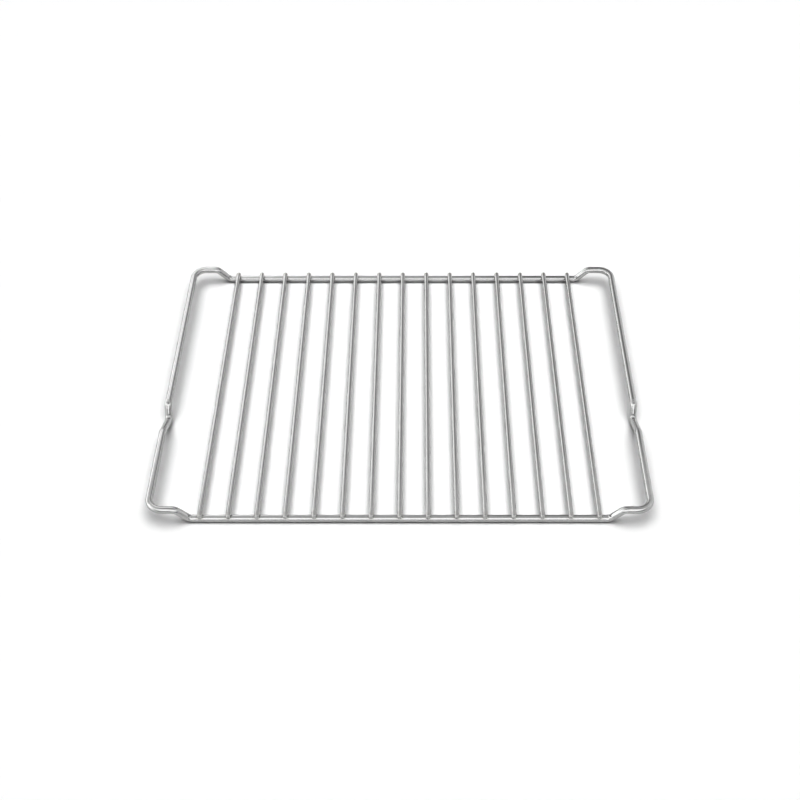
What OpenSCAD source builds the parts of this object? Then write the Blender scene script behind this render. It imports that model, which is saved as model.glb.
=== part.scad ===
// Cooling rack: one closed, bent frame wire with straight cross rods welded on top.
// Origin at the middle of the footprint, on the surface the rack stands on.
// +X to the right, +Y to the back, +Z up. All sizes in millimetres.

/* [Overall] */
// Width over the two side wires
overall_w = 437; // [430:1:560]
// Depth over the front and rear rails
overall_d = 314; // [240:1:420]
// Height from the standing surface to the top of the raised side wires
overall_h = 18.6; // [17:0.1:22]

/* [Frame wire] */
// Diameter of the frame wire
wire_d = 6.4; // [5:0.1:7]
// Centreline radius of the four corners, seen from above
corner_r = 12; // [8:0.5:16]
// Length of the raised stretch of rail, from the top of the rise to the side wire's centreline
raised_len = 23.4; // [20:0.1:24]
// Distance along the rail that the rise takes
rise_run = 11; // [9:0.5:14]
// Centreline radius of the bends at the foot and top of the rise
rise_r = 6; // [4:0.5:8]

/* [Side notch] */
// Distance of the notch's low point in front of the middle of the rack
notch_pos = 41; // [10:1:70]
// Run of the notch's steep rear flank
notch_rear = 8; // [7:0.5:12]
// Run of the notch's gentle front flank
notch_front = 26; // [18:1:36]
// Centreline radius of the bend at the back of the notch
notch_rear_r = 3.5; // [3.5:0.5:5]
// Centreline radius of the bend at the notch's low point
notch_low_r = 5; // [4:0.5:6]
// Centreline radius of the bend at the front of the notch
notch_front_r = 9; // [5:0.5:16]

/* [Cross rods] */
// Number of cross rods
rod_count = 15; // [5:2:15]
// Distance between the centrelines of neighbouring rods
rod_pitch = 24.5; // [12:0.5:24.5]
// Diameter of a cross rod
rod_d = 4.5; // [3:0.1:5]
// Depth that the weld lets a rod sink into the rail
weld_sink = 0.85; // [0.3:0.05:1.2]
// Distance that a rod's end stays inside the outer face of the rail
rod_inset = 0.2; // [0:0.1:1.5]
// Radius of the rounding round a rod's end
rod_end_r = 1; // [0.3:0.1:1.4]

/* [Hidden] */
$fn = 48;
wire_r = wire_d / 2;
rod_r = rod_d / 2;
side_x = overall_w / 2 - wire_r;
rail_y = overall_d / 2 - wire_r;
low_z = wire_r;
high_z = overall_h - wire_r;
rise_top_x = side_x - raised_len;
rise_foot_x = rise_top_x - rise_run;
rod_z = wire_d - weld_sink + rod_r;
rod_len = overall_d - 2 * rod_inset;

// A bend is swollen a little by the bending, and each straight runs a little way into it,
// so that the pieces of the wire overlap instead of only meeting at a seam
bend_swell = 0.02;
bend_lap = 0.15;

// Corner points of the frame wire's right half, rear to front, each with its bend radius
right_bends = [
    [[rise_foot_x, rail_y, low_z], rise_r],
    [[rise_top_x, rail_y, high_z], rise_r],
    [[side_x, rail_y, high_z], corner_r],
    [[side_x, notch_rear - notch_pos, high_z], notch_rear_r],
    [[side_x, -notch_pos, low_z], notch_low_r],
    [[side_x, -notch_pos - notch_front, high_z], notch_front_r],
    [[side_x, -rail_y, high_z], corner_r],
    [[rise_top_x, -rail_y, high_z], rise_r],
    [[rise_foot_x, -rail_y, low_z], rise_r]
];

// The left half is the right half mirrored in the plane X = 0, front to rear
left_bends = [
    for (i = [len(right_bends) - 1 : -1 : 0])
        let (p = right_bends[i][0]) [[-p.x, p.y, p.z], right_bends[i][1]]
];
bends = concat(right_bends, left_bends);
bend_count = len(bends);

rod_names = [for (i = [1 : rod_count]) str("rod_", i < 10 ? "0" : "", i)];

function point(i) = bends[(i + bend_count) % bend_count][0];
function radius(i) = bends[(i + bend_count) % bend_count][1];
function unit(v) = v / norm(v);
function heading(i) = unit(point(i + 1) - point(i));

// Angle the wire turns through at corner point i
function turn(i) = acos(heading(i - 1) * heading(i));

// Distance from corner point i to either end of its bend
function setback(i) = radius(i) * tan(turn(i) / 2);
function bend_start(i) = point(i) - setback(i) * heading(i - 1);
function bend_end(i) = point(i) + setback(i) * heading(i);

// Direction from the centre of bend i to where the bend starts
function spoke(i) = unit(cross(heading(i - 1), cross(heading(i - 1), heading(i))));

// Straight wire from bend i to the next bend
module straight(i) {
    run = bend_start(i + 1) - bend_end(i);
    translate(bend_end(i))
        rotate([0, acos(run.z / norm(run)), atan2(run.y, run.x)])
            translate([0, 0, -bend_lap])
                cylinder(d = wire_d, h = norm(run) + 2 * bend_lap);
}

// Wire bent round at corner point i
module bend(i) {
    x = spoke(i);
    y = heading(i - 1);
    z = cross(x, y);
    c = bend_start(i) - radius(i) * x;
    multmatrix([
        [x.x, y.x, z.x, c.x],
        [x.y, y.y, z.y, c.y],
        [x.z, y.z, z.z, c.z]
    ])
        rotate_extrude(angle = turn(i))
            translate([radius(i), 0])
                circle(d = wire_d + bend_swell);
}

// Straight length of the front or rear rail that the rods are welded to
module rail(side) {
    translate([0, side * rail_y, low_z])
        rotate([0, 90, 0])
            cylinder(d = wire_d, h = overall_w, center = true);
}

// Round rod with softened ends, lying along Y
module plain_rod() {
    rotate([90, 0, 0])
        rotate_extrude() {
            translate([0, -rod_len / 2])
                square([rod_r - rod_end_r, rod_len]);
            translate([0, -rod_len / 2 + rod_end_r])
                square([rod_r, rod_len - 2 * rod_end_r]);
            for (end = [-1, 1])
                translate([rod_r - rod_end_r, end * (rod_len / 2 - rod_end_r)])
                    circle(r = rod_end_r);
        }
}

module frame_wire() {
    color("silver")
        union() {
            for (i = [0 : bend_count - 1]) {
                straight(i);
                bend(i);
            }
        }
}

// Cross rod, seated on both rails; i counts from the left, starting at 0
module rod(i) {
    color("gainsboro")
        difference() {
            translate([(i - (rod_count - 1) / 2) * rod_pitch, 0, rod_z])
                plain_rod();
            rail(1);
            rail(-1);
        }
}

frame_wire();
for (i = [0 : rod_count - 1]) {
    rod(i);
}
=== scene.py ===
import math
import random

import bpy
import numpy as np
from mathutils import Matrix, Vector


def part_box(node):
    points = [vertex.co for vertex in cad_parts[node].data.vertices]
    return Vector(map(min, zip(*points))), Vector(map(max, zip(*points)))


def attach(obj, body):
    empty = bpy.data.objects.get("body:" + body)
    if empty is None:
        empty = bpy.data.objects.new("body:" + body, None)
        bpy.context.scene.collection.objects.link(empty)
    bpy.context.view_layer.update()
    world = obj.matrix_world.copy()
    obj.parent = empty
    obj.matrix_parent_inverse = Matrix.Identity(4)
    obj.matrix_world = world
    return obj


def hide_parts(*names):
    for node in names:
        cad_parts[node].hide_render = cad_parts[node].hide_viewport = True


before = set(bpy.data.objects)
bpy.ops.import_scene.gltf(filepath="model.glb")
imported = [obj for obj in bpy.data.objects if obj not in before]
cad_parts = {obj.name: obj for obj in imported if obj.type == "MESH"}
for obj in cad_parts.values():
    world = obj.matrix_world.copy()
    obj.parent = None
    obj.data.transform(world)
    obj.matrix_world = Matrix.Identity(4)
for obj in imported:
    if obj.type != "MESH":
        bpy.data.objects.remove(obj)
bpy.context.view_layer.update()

MM = 0.001
UP = np.array([0.0, 0.0, 1.0])

# ---- Frame wire: the same driving sizes as the CAD source ----
WIRE_R = 3.2 * MM
CORNER_R = 12 * MM
RAISED_LEN = 23.4 * MM
RISE_RUN = 11 * MM
RISE_R = 6 * MM
NOTCH_POS = 41 * MM
NOTCH_REAR = 8 * MM
NOTCH_FRONT = 26 * MM
NOTCH_REAR_R = 3.5 * MM
NOTCH_LOW_R = 5 * MM
NOTCH_FRONT_R = 9 * MM

# ---- What bending does to the wire ----
OVALITY = 0.075
BULGE = 0.9
BEND_FADE = 1.6 * MM
BEND_STEP = math.radians(6)
BEND_STEPS_MIN = 6
FADE_RINGS = 4
FADE_CLEAR = 1.3
STRAIGHT_STEP = 8 * MM
STRAIGHT_STEPS_MIN = 3
WIRE_SIDES = 40

# ---- Cross rods ----
ROD_SIDES = 32
TIP_LEN = 1.5 * MM
TIP_POWER = 2.2
TIP_RINGS = 9
TIP_UNEVEN = 0.15
TIP_SKEW = 0.16
TIP_SEED = 40
ELECTRODE_DEPTH = 0.12 * MM
ELECTRODE_REACH = 1.7 * MM
TIP_CLEAR = 1.3
SEAT_CLEAR = 3

# ---- Resistance welds ----
FILLET_LEG = 0.75 * MM
FILLET_STEPS = 6
FILLET_SIDES = 48
FILLET_SINK = 0.04 * MM
FILLET_ROOT = 0.6
FILLET_WAVES = (3, 7)
FILLET_WAVE_SIZES = (0.13, 0.07)
SEAM_START = 0.985
SEAM_PASSES = 6
PROJECT_PASSES = 4
SLOPE_STEP = 0.005 * MM

wire_low, wire_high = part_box("frame_wire")
side_x = wire_high.x - WIRE_R
rail_y = wire_high.y - WIRE_R
low_z = WIRE_R
high_z = wire_high.z - WIRE_R
rod_nodes = sorted(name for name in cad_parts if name.startswith("rod_"))


# ---- Small vector helpers ----
def unit(v):
    return v / np.linalg.norm(v)


def smooth_step(t):
    t = min(1.0, max(0.0, t))
    return t * t * (3 - 2 * t)


# ---- Path of the frame wire ----
def frame_corners():
    """Corner points of the closed frame wire, each with its centreline bend radius."""
    rise_top = side_x - RAISED_LEN
    rise_foot = rise_top - RISE_RUN
    right = [
        ((rise_foot, rail_y, low_z), RISE_R),
        ((rise_top, rail_y, high_z), RISE_R),
        ((side_x, rail_y, high_z), CORNER_R),
        ((side_x, NOTCH_REAR - NOTCH_POS, high_z), NOTCH_REAR_R),
        ((side_x, -NOTCH_POS, low_z), NOTCH_LOW_R),
        ((side_x, -NOTCH_POS - NOTCH_FRONT, high_z), NOTCH_FRONT_R),
        ((side_x, -rail_y, high_z), CORNER_R),
        ((rise_top, -rail_y, high_z), RISE_R),
        ((rise_foot, -rail_y, low_z), RISE_R),
    ]
    left = [((-p[0], p[1], p[2]), r) for p, r in reversed(right)]
    return [(np.array(p), r) for p, r in right + left]


def bend_arc(before, corner, after, radius):
    """Where the bend at a corner starts and ends, and points with headings along it."""
    d0, d1 = unit(corner - before), unit(after - corner)
    turn = math.acos(float(d0 @ d1))
    inward = unit(d1 - d0 * float(d0 @ d1))
    start = corner - d0 * radius * math.tan(turn / 2)
    centre = start + inward * radius
    steps = max(BEND_STEPS_MIN, math.ceil(turn / BEND_STEP))
    samples = []
    for k in range(steps + 1):
        a = turn * k / steps
        out = -inward * math.cos(a) + d0 * math.sin(a)
        heading = d0 * math.cos(a) + inward * math.sin(a)
        samples.append((centre + out * radius, heading, -out))
    return samples


def frame_path():
    """Samples along the closed wire: place, heading, way to the bend's centre and ovality."""
    corners = frame_corners()
    count = len(corners)
    arcs = [
        bend_arc(corners[i - 1][0], corners[i][0], corners[(i + 1) % count][0], corners[i][1])
        for i in range(count)
    ]
    path = []
    for i, arc in enumerate(arcs):
        oval = OVALITY * WIRE_R / corners[i][1]
        path += [(p, t, n, oval) for p, t, n in arc]
        path += straight_between(arc[-1], oval, arcs[(i + 1) % count][0], i, corners)
    return path


def straight_between(end, oval, start, i, corners):
    """Samples on the straight wire from one bend to the next, its ovality fading out."""
    p, q = end[0], start[0]
    length = float(np.linalg.norm(q - p))
    heading = unit(q - p)
    next_oval = OVALITY * WIRE_R / corners[(i + 1) % len(corners)][1]
    steps = max(STRAIGHT_STEPS_MIN, math.ceil(length / STRAIGHT_STEP))
    fading = [BEND_FADE * k / FADE_RINGS for k in range(1, FADE_RINGS + 1)]
    near = [s for s in fading if s < length / 2]
    middle = [length * k / steps for k in range(1, steps)]
    clear = BEND_FADE * FADE_CLEAR
    middle = [s for s in middle if clear < s < length - clear]
    samples = []
    for s in near + middle + [length - s for s in reversed(near)]:
        first = s < length / 2
        fade = 1 - smooth_step(min(s, length - s) / BEND_FADE)
        normal, amount = (end[2], oval) if first else (start[2], next_oval)
        samples.append((p + heading * s, heading, normal, amount * fade))
    return samples


# ---- Mesh making ----
def new_object(name, vertices, faces, smooth=True):
    mesh = bpy.data.meshes.new(name)
    mesh.from_pydata([tuple(v) for v in vertices], [], faces)
    mesh.update()
    if smooth:
        mesh.shade_smooth()
    piece = bpy.data.objects.new(name, mesh)
    bpy.context.scene.collection.objects.link(piece)
    return piece


def set_wire_uv(mesh, along, around, girth, total=None):
    """UV in metres: u runs along the wire and v round it, with the seams kept whole.

    girth is the way round the wire, and total the length of a closed wire.
    """
    layer = mesh.uv_layers.new(name="wire")
    for polygon in mesh.polygons:
        corners = [mesh.loops[k].vertex_index for k in polygon.loop_indices]
        us = [along[c] for c in corners]
        vs = [around[c] for c in corners]
        if total and max(us) - min(us) > total / 2:
            us = [u + total if u < total / 2 else u for u in us]
        if max(vs) - min(vs) > girth / 2:
            vs = [v + girth if v < girth / 2 else v for v in vs]
        for k, u, v in zip(polygon.loop_indices, us, vs):
            layer.data[k].uv = (u, v)


def set_point_value(mesh, name, values):
    attribute = mesh.attributes.new(name, "FLOAT", "POINT")
    attribute.data.foreach_set("value", np.array(values, np.float32))


def wire_section(heading, normal, oval):
    """Points round the wire's centre: a circle, a little oval and swollen sideways in a bend."""
    side = unit(np.cross(heading, UP))
    over = np.cross(side, heading)
    binormal = unit(np.cross(heading, normal))
    points = []
    for k in range(WIRE_SIDES):
        a = 2 * math.pi * k / WIRE_SIDES
        v = (over * math.cos(a) + side * math.sin(a)) * WIRE_R
        squeezed = v - normal * float(v @ normal) * oval
        points.append(squeezed + binormal * float(v @ binormal) * oval * BULGE)
    return points


def ring_faces(rings):
    """Quads between each ring of the closed wire and the next."""
    faces = []
    for i in range(rings):
        a, b = i * WIRE_SIDES, (i + 1) % rings * WIRE_SIDES
        for k in range(WIRE_SIDES):
            m = (k + 1) % WIRE_SIDES
            faces.append((a + k, b + k, b + m, a + m))
    return faces


def build_frame_wire():
    """The bent wire: one closed sweep."""
    path = frame_path()
    vertices, along, around, bend = [], [], [], []
    distance = 0.0
    for i, (p, heading, normal, oval) in enumerate(path):
        if i:
            distance += float(np.linalg.norm(p - path[i - 1][0]))
        for k, v in enumerate(wire_section(heading, normal, oval)):
            vertices.append(p + v)
            along.append(distance)
            around.append(2 * math.pi * k / WIRE_SIDES * WIRE_R)
            bend.append(min(1.0, oval / OVALITY * 2))
    piece = new_object("bent_frame_wire", vertices, ring_faces(len(path)))
    total = distance + float(np.linalg.norm(path[0][0] - path[-1][0]))
    set_wire_uv(piece.data, along, around, 2 * math.pi * WIRE_R, total)
    set_point_value(piece.data, "bend", bend)
    return piece


class Rod:
    """Sizes of one cross rod, read from its CAD node, with its own slightly uneven tips."""

    def __init__(self, node, seed):
        low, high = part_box(node)
        dice = random.Random(seed)
        self.x = (low.x + high.x) / 2
        self.r = (high.x - low.x) / 2
        self.z = high.z - self.r
        self.half = high.y
        uneven = (1 - TIP_UNEVEN, 1 + TIP_UNEVEN)
        self.tips = {end: TIP_LEN * dice.uniform(*uneven) for end in (-1, 1)}
        self.skew = {end: dice.uniform(-TIP_SKEW, TIP_SKEW) for end in (-1, 1)}
        self.phase = dice.uniform(0, 2 * math.pi)

    def tip_start(self, end):
        """Where the rounding of a tip starts, as a distance from the middle."""
        return self.half - self.tips[end]

    def radius(self, y):
        """Radius of the rod at y: constant, then rounded off over the tip."""
        end = 1 if y > 0 else -1
        depth = (abs(y) - self.tip_start(end)) / self.tips[end]
        if depth <= 0:
            return self.r
        return self.r * max(0.0, 1 - min(1.0, depth) ** TIP_POWER) ** (1 / TIP_POWER)

    def gap(self, p):
        """Signed distance from the rod's surface, near enough close to it."""
        rho = math.hypot(p[0] - self.x, p[2] - self.z)
        step = 2 * SLOPE_STEP
        slope = (self.radius(p[1] + step) - self.radius(p[1] - step)) / (2 * step)
        return (rho - self.radius(p[1])) / math.hypot(1, slope)

    def rings(self):
        """Places along the rod that need a ring of vertices."""
        ys = []
        for end in (-1, 1):
            tip = self.tips[end]
            steps = [math.sin(math.pi / 2 * k / TIP_RINGS) for k in range(TIP_RINGS)]
            ys += [end * (self.half - tip + tip * s) for s in steps]
        seat = [ELECTRODE_REACH * k / 2 for k in range(-4, 3)]
        limit = self.half - TIP_CLEAR * TIP_LEN
        ys += [end * (rail_y + s) for end in (-1, 1) for s in seat if rail_y + s < limit]
        span = rail_y - SEAT_CLEAR * ELECTRODE_REACH
        steps = round(span / STRAIGHT_STEP)
        ys += [-span + 2 * span * k / steps for k in range(steps + 1)]
        return sorted(ys)


def electrode_mark(y):
    """How far the welding electrode has pressed the top of the rod down at y."""
    off = (abs(y) - rail_y) / ELECTRODE_REACH
    return ELECTRODE_DEPTH * math.exp(-off * off)


def rod_ring(rod, y):
    """Points round the rod at y, with the electrode's flat on top and the tip's skew."""
    r = rod.radius(y)
    end = 1 if y > 0 else -1
    inside = max(0.0, (abs(y) - rod.tip_start(end)) / rod.tips[end])
    lift = rod.skew[end] * inside * inside * rod.r
    top = rod.z + r - electrode_mark(y)
    points = []
    for k in range(ROD_SIDES):
        a = 2 * math.pi * k / ROD_SIDES
        z = min(rod.z + r * math.cos(a) + lift, top + lift)
        points.append((rod.x + r * math.sin(a), y, z))
    return points


def rod_faces(rings):
    """Quads between the rings, then the fans that close the two tips."""
    faces = []
    for i in range(rings - 1):
        a, b = i * ROD_SIDES, (i + 1) * ROD_SIDES
        for k in range(ROD_SIDES):
            m = (k + 1) % ROD_SIDES
            faces.append((a + k, a + m, b + m, b + k))
    front, rear = rings * ROD_SIDES, rings * ROD_SIDES + 1
    last = (rings - 1) * ROD_SIDES
    faces += [(front, (k + 1) % ROD_SIDES, k) for k in range(ROD_SIDES)]
    faces += [(rear, last + k, last + (k + 1) % ROD_SIDES) for k in range(ROD_SIDES)]
    return faces


def rod_surface(rod):
    """Vertices, faces and UV places of a rod: swept rings closed by a point at each tip."""
    ys = rod.rings()
    vertices, along, around = [], [], []
    for y in ys:
        vertices += rod_ring(rod, y)
        along += [y + rod.half] * ROD_SIDES
        around += [2 * math.pi * k / ROD_SIDES * rod.r for k in range(ROD_SIDES)]
    for end in (-1, 1):
        vertices.append((rod.x, end * rod.half, rod.z + rod.skew[end] * rod.r))
        along.append(rod.half + end * rod.half)
        around.append(0.0)
    return vertices, rod_faces(len(ys)), along, around


def rail_gap(p, end):
    """Signed distance from the surface of the front (-1) or rear (1) rail."""
    return math.hypot(p[1] - end * rail_y, p[2] - low_z) - WIRE_R


def slope_of(gap, p):
    """Outward direction of a surface given by its signed distance."""
    out = []
    for axis in range(3):
        shift = np.zeros(3)
        shift[axis] = SLOPE_STEP
        out.append(gap(p + shift) - gap(p - shift))
    return unit(np.array(out))


def onto(gap, p, depth=0.0):
    """p moved along a surface's slope until it lies depth below that surface."""
    for _ in range(PROJECT_PASSES):
        p = p - slope_of(gap, p) * (gap(p) + depth)
    return p


def seam_loop(rod, end):
    """The closed curve where a rod's surface meets the rail's."""
    reach = math.sqrt(WIRE_R**2 - (rod.z - rod.r - low_z) ** 2)
    loop = []
    for k in range(FILLET_SIDES):
        a = 2 * math.pi * k / FILLET_SIDES
        y = reach * math.cos(a) * SEAM_START
        z = low_z + math.sqrt(WIRE_R**2 - y * y)
        across = min(1.0, max(-1.0, (rod.z - z) / rod.r))
        x = rod.r * math.sqrt(1 - across**2) * (1 if math.sin(a) >= 0 else -1)
        p = np.array([rod.x + x, end * rail_y + y, z])
        for _ in range(SEAM_PASSES):
            p = onto(rod.gap, p)
            p = onto(lambda q: rail_gap(q, end), p)
        loop.append(p)
    return loop


def fillet_leg(rod, angle):
    """Leg length of the fillet at an angle round the crossing: a little uneven."""
    slow, fast = FILLET_WAVES
    slow_size, fast_size = FILLET_WAVE_SIZES
    wave = slow_size * math.sin(slow * angle + rod.phase)
    wave += fast_size * math.sin(fast * angle - rod.phase)
    return FILLET_LEG * (1 + wave)


def fillet_row(rod, rail, p, tangent, leg):
    """Points across the fillet at p: hollow from the rod to the rail, then its buried root."""
    out_rod, out_rail = slope_of(rod.gap, p), slope_of(rail, p)
    up_rod = unit(np.cross(out_rod, tangent))
    up_rod *= 1 if up_rod @ out_rail > 0 else -1
    along_rail = unit(np.cross(out_rail, tangent))
    along_rail *= 1 if along_rail @ out_rod > 0 else -1
    top = onto(rod.gap, p + up_rod * leg, FILLET_SINK)
    foot = onto(rail, p + along_rail * leg, FILLET_SINK)
    row = []
    for step in range(FILLET_STEPS + 1):
        t = step / FILLET_STEPS
        row.append(top * (1 - t) ** 2 + p * 2 * t * (1 - t) + foot * t * t)
    row.append(p - (out_rod + out_rail) * leg * FILLET_ROOT)
    return row


def weld_fillet(rod, end):
    """A closed ring of weld metal with a hollow face, running round one crossing."""
    loop = seam_loop(rod, end)
    vertices = []
    for k, p in enumerate(loop):
        tangent = unit(loop[(k + 1) % FILLET_SIDES] - loop[k - 1])
        leg = fillet_leg(rod, 2 * math.pi * k / FILLET_SIDES)
        vertices += fillet_row(rod, lambda q: rail_gap(q, end), p, tangent, leg)
    row = FILLET_STEPS + 2
    faces = []
    for k in range(FILLET_SIDES):
        a, b = k * row, (k + 1) % FILLET_SIDES * row
        for step in range(row):
            m = (step + 1) % row
            faces.append((a + step, b + step, b + m, a + m))
    return vertices, faces


def build_rod(node, number):
    """A cross rod with the weld metal at its two crossings, and its count of rod faces."""
    rod = Rod(node, TIP_SEED + number)
    vertices, faces, along, around = rod_surface(rod)
    rod_count = len(faces)
    for end in (-1, 1):
        first = len(vertices)
        weld, weld_faces = weld_fillet(rod, end)
        vertices += weld
        faces += [tuple(first + k for k in face) for face in weld_faces]
        for v in weld:
            along.append(float(v[1]) + rod.half)
            turn = math.atan2(v[0] - rod.x, v[2] - rod.z) % (2 * math.pi)
            around.append(turn * rod.r)
    piece = new_object(f"cross_rod_{number:02d}", vertices, faces)
    set_wire_uv(piece.data, along, around, 2 * math.pi * rod.r)
    return piece, rod_count


# ---- Steel: tone, roughness and marks ----
STEEL = (0.63, 0.63, 0.63)
STEEL_ROUGHNESS = 0.17
HEAT_TINT = (0.90, 0.895, 0.885)
WELD_DARK = 0.7
LINE_STRETCH = (28.0, 2300.0, 1.0)
COARSE_STRETCH = (9.0, 620.0, 1.0)
CLOUD_SCALE = 85.0
SPECK_SCALE = 900.0
RIPPLE_SCALE = 1400.0
WELD_CLOUD_SCALE = 320.0
LINE_TONE = 0.10
CLOUD_TONE = 0.10
LINE_ROUGHNESS = 0.16
CLOUD_ROUGHNESS = 0.12
HEAT_ROUGHNESS = 0.05
BEND_ROUGHNESS = 0.12
HEAT_LEAST = 0.45
WELD_ROUGHNESS = (0.42, 0.60)
COARSE_HEIGHT = 0.6
WIRE_BUMP = (0.35, 0.02 * MM)
WELD_BUMP = (0.5, 0.05 * MM)
NEAR_RAIL = (1.5 * MM, 4.5 * MM)
NEAR_ROD = (2.0 * MM, 5.0 * MM)
RAIL_UPPER = (4.2 * MM, 5.8 * MM)
OUTER_MARGIN = 6 * MM


# ---- Materials ----
class Nodes:
    """Short ways to add and join shader nodes."""

    def __init__(self, material):
        material.use_nodes = True
        self.tree = material.node_tree
        self.tree.nodes.clear()

    def add(self, kind, **settings):
        node = self.tree.nodes.new(kind)
        for name, value in settings.items():
            setattr(node, name, value)
        return node

    def feed(self, socket, value):
        if hasattr(value, "links"):
            self.tree.links.new(value, socket)
        else:
            socket.default_value = value

    def math(self, operation, a, b=0.0, c=0.0):
        node = self.add("ShaderNodeMath", operation=operation)
        for socket, value in zip(node.inputs, (a, b, c)):
            self.feed(socket, value)
        return node.outputs[0]

    def ramp(self, value, low, high, out_low=0.0, out_high=1.0, kind="SMOOTHSTEP"):
        node = self.add("ShaderNodeMapRange", interpolation_type=kind)
        for socket, v in zip(node.inputs, (value, low, high, out_low, out_high)):
            self.feed(socket, v)
        return node.outputs[0]

    def noise(self, vector, scale, detail=3.0, roughness=0.55):
        node = self.add("ShaderNodeTexNoise")
        self.feed(node.inputs["Vector"], vector)
        self.feed(node.inputs["Scale"], scale)
        self.feed(node.inputs["Detail"], detail)
        self.feed(node.inputs["Roughness"], roughness)
        return node.outputs["Fac"]

    def stretch(self, vector, scale):
        node = self.add("ShaderNodeVectorMath", operation="MULTIPLY")
        self.feed(node.inputs[0], vector)
        node.inputs[1].default_value = scale
        return node.outputs[0]

    def blend(self, factor, a, b, mode="MIX"):
        node = self.add("ShaderNodeMix", data_type="RGBA", blend_type=mode)
        colour_a, colour_b = node.inputs[6], node.inputs[7]
        self.feed(node.inputs["Factor"], factor)
        self.feed(colour_a, a)
        self.feed(colour_b, b)
        return node.outputs[2]

    def metal(self, colour, roughness, height, bump_size):
        """A metal surface with fine bumps, joined to the material's output."""
        shader = self.add("ShaderNodeBsdfPrincipled")
        self.feed(shader.inputs["Base Color"], colour)
        shader.inputs["Metallic"].default_value = 1.0
        self.feed(shader.inputs["Roughness"], roughness)
        bump = self.add("ShaderNodeBump")
        bump.inputs["Strength"].default_value, bump.inputs["Distance"].default_value = bump_size
        self.feed(bump.inputs["Height"], height)
        self.feed(shader.inputs["Normal"], bump.outputs[0])
        self.finish("ShaderNodeOutputMaterial", shader)

    def finish(self, output_kind, shader):
        output = self.add(output_kind)
        self.feed(output.inputs["Surface"], shader.outputs[0])


def tinted(base, factors):
    return (*[c * f for c, f in zip(base, factors)], 1.0)


def drawn_steel(name, weld_mask, bend_mark=False):
    """Satin wire: drawing lines along it, faint handling marks, heat tint and scuffed bends."""
    material = bpy.data.materials.new(name)
    n = Nodes(material)
    uv = n.add("ShaderNodeUVMap", uv_map="wire").outputs[0]
    place = n.add("ShaderNodeTexCoord").outputs["Object"]
    lines = n.noise(n.stretch(uv, LINE_STRETCH), 1.0, 4.0, 0.6)
    coarse = n.noise(n.stretch(uv, COARSE_STRETCH), 1.0, 2.0)
    cloud = n.noise(place, CLOUD_SCALE, 3.0)
    line_part = n.math("SUBTRACT", lines, 0.5)
    cloud_part = n.math("SUBTRACT", cloud, 0.5)
    tone = n.math("MULTIPLY_ADD", lines, LINE_TONE, 1 - LINE_TONE)
    tone = n.math("MULTIPLY_ADD", cloud_part, CLOUD_TONE, tone)
    colour = n.blend(1.0, (*STEEL, 1.0), grey(n, tone), "MULTIPLY")
    rough = n.math("MULTIPLY_ADD", line_part, LINE_ROUGHNESS, STEEL_ROUGHNESS)
    rough = n.math("MULTIPLY_ADD", cloud_part, CLOUD_ROUGHNESS, rough)
    heat = n.math("MULTIPLY", weld_mask(n, place), n.ramp(cloud, 0.3, 0.7, HEAT_LEAST, 1.0))
    colour = n.blend(heat, colour, tinted(STEEL, HEAT_TINT))
    rough = n.math("MULTIPLY_ADD", heat, HEAT_ROUGHNESS, rough)
    if bend_mark:
        mark = n.add("ShaderNodeAttribute", attribute_name="bend").outputs["Fac"]
        scuffs = n.ramp(n.noise(place, SPECK_SCALE, 2.0), 0.4, 0.7)
        rough = n.math("MULTIPLY_ADD", n.math("MULTIPLY", mark, scuffs), BEND_ROUGHNESS, rough)
    fine = n.math("MULTIPLY", lines, 1 - COARSE_HEIGHT)
    height = n.math("MULTIPLY_ADD", coarse, COARSE_HEIGHT, fine)
    n.metal(colour, rough, height, WIRE_BUMP)
    return material


def grey(n, value):
    """A grey colour from one number."""
    node = n.add("ShaderNodeCombineColor")
    for socket in node.inputs:
        n.feed(socket, value)
    return node.outputs[0]


def separate(n, place):
    node = n.add("ShaderNodeSeparateXYZ")
    n.feed(node.inputs[0], place)
    return node.outputs


def near_rail(n, place):
    """1 where a rod crosses the front or rear rail, fading to 0 a few millimetres away."""
    y = n.math("ABSOLUTE", separate(n, place)[1])
    off = n.math("ABSOLUTE", n.math("SUBTRACT", y, rail_y))
    return n.ramp(off, *NEAR_RAIL, 1.0, 0.0)


def near_rod(n, place):
    """1 on the rails where a rod is welded on, fading to 0 a few millimetres away."""
    x, _, z = separate(n, place)
    pitch = rod_pitch()
    steps = n.math("DIVIDE", n.math("ABSOLUTE", x), pitch)
    off = n.math("MULTIPLY", n.math("PINGPONG", steps, 0.5), pitch)
    close = n.ramp(off, *NEAR_ROD, 1.0, 0.0)
    upper = n.ramp(z, *RAIL_UPPER, 0.0, 1.0)
    inner = n.math("LESS_THAN", n.math("ABSOLUTE", x), max(rod_places()) + OUTER_MARGIN)
    return n.math("MULTIPLY", n.math("MULTIPLY", close, upper), inner)


def rod_places():
    return [(low.x + high.x) / 2 for low, high in map(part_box, rod_nodes)]


def rod_pitch():
    xs = sorted(rod_places())
    return (xs[-1] - xs[0]) / (len(xs) - 1)


def weld_steel():
    """Weld metal: duller and a little darker than the wire, with a fine rippled skin."""
    material = bpy.data.materials.new("weld_metal")
    n = Nodes(material)
    place = n.add("ShaderNodeTexCoord").outputs["Object"]
    ripple = n.noise(place, RIPPLE_SCALE, 3.0)
    cloud = n.noise(place, WELD_CLOUD_SCALE, 2.0)
    dark = tinted(STEEL, (WELD_DARK, WELD_DARK, WELD_DARK))
    colour = n.blend(n.ramp(cloud, 0.35, 0.7), tinted(STEEL, HEAT_TINT), dark)
    n.metal(colour, n.ramp(ripple, 0.3, 0.7, *WELD_ROUGHNESS), ripple, WELD_BUMP)
    return material


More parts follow.
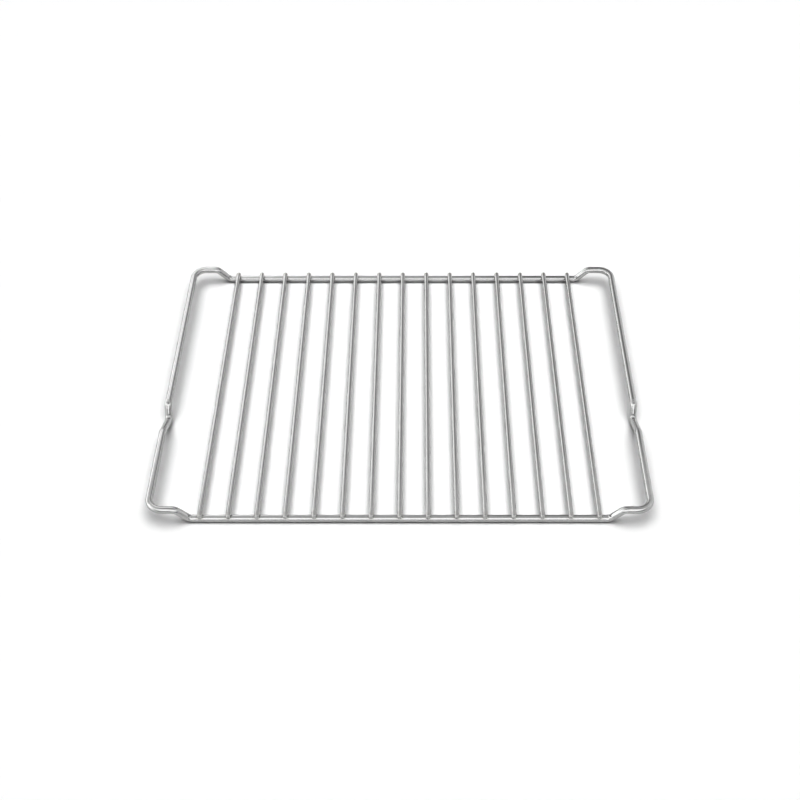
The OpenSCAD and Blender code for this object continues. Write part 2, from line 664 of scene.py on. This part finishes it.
# ---- The rack ----
def make_rack():
    wire = build_frame_wire()
    wire.data.materials.append(drawn_steel("frame_steel", near_rod, True))
    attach(wire, "root")
    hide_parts("frame_wire")
    rod_material = drawn_steel("rod_steel", near_rail)
    weld_material = weld_steel()
    for number, node in enumerate(rod_nodes, 1):
        piece, rod_count = build_rod(node, number)
        piece.data.materials.append(rod_material)
        piece.data.materials.append(weld_material)
        for polygon in piece.data.polygons[rod_count:]:
            polygon.material_index = 1
        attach(piece, "root")
        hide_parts(node)


# ---- Studio: two overhead softboxes light the floor ----
FLOOR_TONE = 0.85
FLOOR_REACH = 6.0
FLOOR_LIGHT = 1.006
CORE_SHARE = 0.30
CORE_ANGLE = math.radians(50)
WIDE_ANGLE = math.radians(84)
VIEW_GAMMA = 0.53

# ---- Studio: glowing cards and surround that only the steel reflects ----
CARD_HALF = 1.2
CARD_HEIGHT = 0.40
CEILING_DEPTH = (0.205, 1.5)
NEAR_DEPTH = (0.0, 0.20)
NEAR_GLOW = 0.98
FRONT_HALF = 1.4
FRONT_DEPTH = (-6.0, -0.46)
FRONT_HEIGHT = 1.2
FRONT_GLOW = 1.60
# Ceiling glow from left to right: (place along X, glow)
CEILING_TONES = [
    (-1.2, 2.20), (-0.60, 1.08), (-0.45, 1.30), (-0.32, 1.85), (-0.24, 1.55),
    (-0.17, 1.00), (-0.10, 0.95), (0.02, 0.92), (0.10, 0.76), (0.17, 0.44),
    (0.27, 0.44), (0.45, 1.00), (1.2, 1.15),
]
# Surround glow along one axis of the direction looked in: (from, to, glow at from, glow at to)
SURROUND_DEPTH = (-0.75, 0.1, 0.44, 0.96)
SURROUND_LEFT = (-0.25, -0.9, 0.0, 1.5)
SURROUND_RIGHT = (0.30, 0.75, 0.0, 0.55)
BACKDROP_SIDES = 24
BACKDROP_RADIUS = 5.9


def emission_material(name, strength):
    """A glowing card. strength is a number, or a function that makes a socket from the nodes."""
    material = bpy.data.materials.new(name)
    n = Nodes(material)
    glow = n.add("ShaderNodeEmission")
    n.feed(glow.inputs["Strength"], strength(n) if callable(strength) else strength)
    n.finish("ShaderNodeOutputMaterial", glow)
    return material


def flat_card(name, x, y, z, material):
    """A level card from x[0] to x[1] and y[0] to y[1], at height z."""
    corners = [(x[0], y[0], z), (x[1], y[0], z), (x[1], y[1], z), (x[0], y[1], z)]
    card = new_object(name, corners, [(0, 1, 2, 3)], smooth=False)
    card.data.materials.append(material)
    return card


def light_nothing(item):
    """The item lights no floor, casts no shadow and dims nothing."""
    item.visible_diffuse = False
    item.visible_shadow = False
    item.visible_transmission = False


def reflection_card(name, half, depth, height, glow):
    """A card that only shows in the steel."""
    card = flat_card(name, (-half, half), depth, height, emission_material(name, glow))
    light_nothing(card)
    card.visible_camera = False


def make_floor():
    material = bpy.data.materials.new("pale_floor")
    n = Nodes(material)
    shader = n.add("ShaderNodeBsdfDiffuse")
    shader.inputs["Color"].default_value = (FLOOR_TONE, FLOOR_TONE, FLOOR_TONE, 1)
    n.finish("ShaderNodeOutputMaterial", shader)
    reach = (-FLOOR_REACH, FLOOR_REACH)
    flat_card("floor", reach, reach, 0.0, material)


def make_overhead_light(name, angle, share):
    """A round overhead softbox, far away, that lights the floor and gives the soft shadows."""
    light = bpy.data.lights.new(name, "SUN")
    light.angle = angle
    light.energy = FLOOR_LIGHT * share * math.pi / FLOOR_TONE
    sun = bpy.data.objects.new(name, light)
    sun.visible_glossy = False
    bpy.context.scene.collection.objects.link(sun)


def ceiling_tone(n):
    """Glow of the ceiling card: bright on the left, darkest a little right of the middle."""
    x = separate(n, n.add("ShaderNodeTexCoord").outputs["Object"])[0]
    low, high = CEILING_TONES[0][0], CEILING_TONES[-1][0]
    brightest = max(tone for place, tone in CEILING_TONES)
    ramp = n.add("ShaderNodeValToRGB")
    ramp.color_ramp.interpolation = "B_SPLINE"
    stops = ramp.color_ramp.elements
    while len(stops) < len(CEILING_TONES):
        stops.new(0.5)
    for stop, (place, tone) in zip(stops, CEILING_TONES):
        stop.position = (place - low) / (high - low)
        shade = tone / brightest
        stop.color = (shade, shade, shade, 1)
    n.feed(ramp.inputs[0], n.ramp(x, low, high, kind="LINEAR"))
    return n.math("MULTIPLY", ramp.outputs[0], brightest)


def make_cards():
    reflection_card("ceiling_card", CARD_HALF, CEILING_DEPTH, CARD_HEIGHT, ceiling_tone)
    reflection_card("near_card", CARD_HALF, NEAR_DEPTH, CARD_HEIGHT, NEAR_GLOW)
    reflection_card("front_card", FRONT_HALF, FRONT_DEPTH, FRONT_HEIGHT, FRONT_GLOW)


def make_backdrop():
    """White round wall that only the camera sees, just inside the edge of the floor."""
    vertices = []
    for k in range(BACKDROP_SIDES):
        turn = 2 * math.pi * k / BACKDROP_SIDES
        x, y = BACKDROP_RADIUS * math.cos(turn), BACKDROP_RADIUS * math.sin(turn)
        vertices += [(x, y, -BACKDROP_RADIUS), (x, y, BACKDROP_RADIUS)]
    faces = []
    for k in range(BACKDROP_SIDES):
        a, b = 2 * k, 2 * ((k + 1) % BACKDROP_SIDES)
        faces.append((a, b, b + 1, a + 1))
    backdrop = new_object("backdrop", vertices, faces, smooth=False)
    backdrop.data.materials.append(emission_material("backdrop_white", 1.0))
    light_nothing(backdrop)
    backdrop.visible_glossy = False


def make_surround():
    """Reflections below the cards: dark in front, paler behind, brightest on the left."""
    world = bpy.data.worlds.new("surround")
    bpy.context.scene.world = world
    n = Nodes(world)
    x, y = separate(n, n.add("ShaderNodeTexCoord").outputs["Generated"])[:2]
    depth = n.ramp(y, *SURROUND_DEPTH, kind="LINEAR")
    left = n.ramp(x, *SURROUND_LEFT, kind="LINEAR")
    right = n.ramp(x, *SURROUND_RIGHT, kind="LINEAR")
    background = n.add("ShaderNodeBackground")
    glow = n.math("ADD", depth, n.math("ADD", left, right))
    n.feed(background.inputs["Strength"], glow)
    n.finish("ShaderNodeOutputWorld", background)
    world.cycles_visibility.diffuse = False
    world.cycles_visibility.camera = False


# ---- Camera: the photograph's viewing angle ----
CAMERA_PLACE = (0.01478, -0.71085, 0.77583)
CAMERA_PITCH = math.radians(41.932)
CAMERA_LENS = 49.51
CAMERA_SENSOR = 36
CAMERA_SHIFT_X = -0.0211
CAMERA_NEAREST = 0.01


def make_camera():
    data = bpy.data.cameras.new("camera")
    data.sensor_width = CAMERA_SENSOR
    data.lens = CAMERA_LENS
    data.shift_x = CAMERA_SHIFT_X
    data.clip_start = CAMERA_NEAREST
    camera = bpy.data.objects.new("camera", data)
    camera.location = CAMERA_PLACE
    camera.rotation_euler = (CAMERA_PITCH, 0, 0)
    bpy.context.scene.collection.objects.link(camera)
    bpy.context.scene.camera = camera


make_camera()
make_rack()
make_floor()
make_overhead_light("softbox_core", CORE_ANGLE, CORE_SHARE)
make_overhead_light("softbox_wide", WIDE_ANGLE, 1 - CORE_SHARE)
make_cards()
make_backdrop()
make_surround()
bpy.context.scene.view_settings.view_transform = "Standard"
bpy.context.scene.view_settings.gamma = VIEW_GAMMA

bpy.context.view_layer.update()
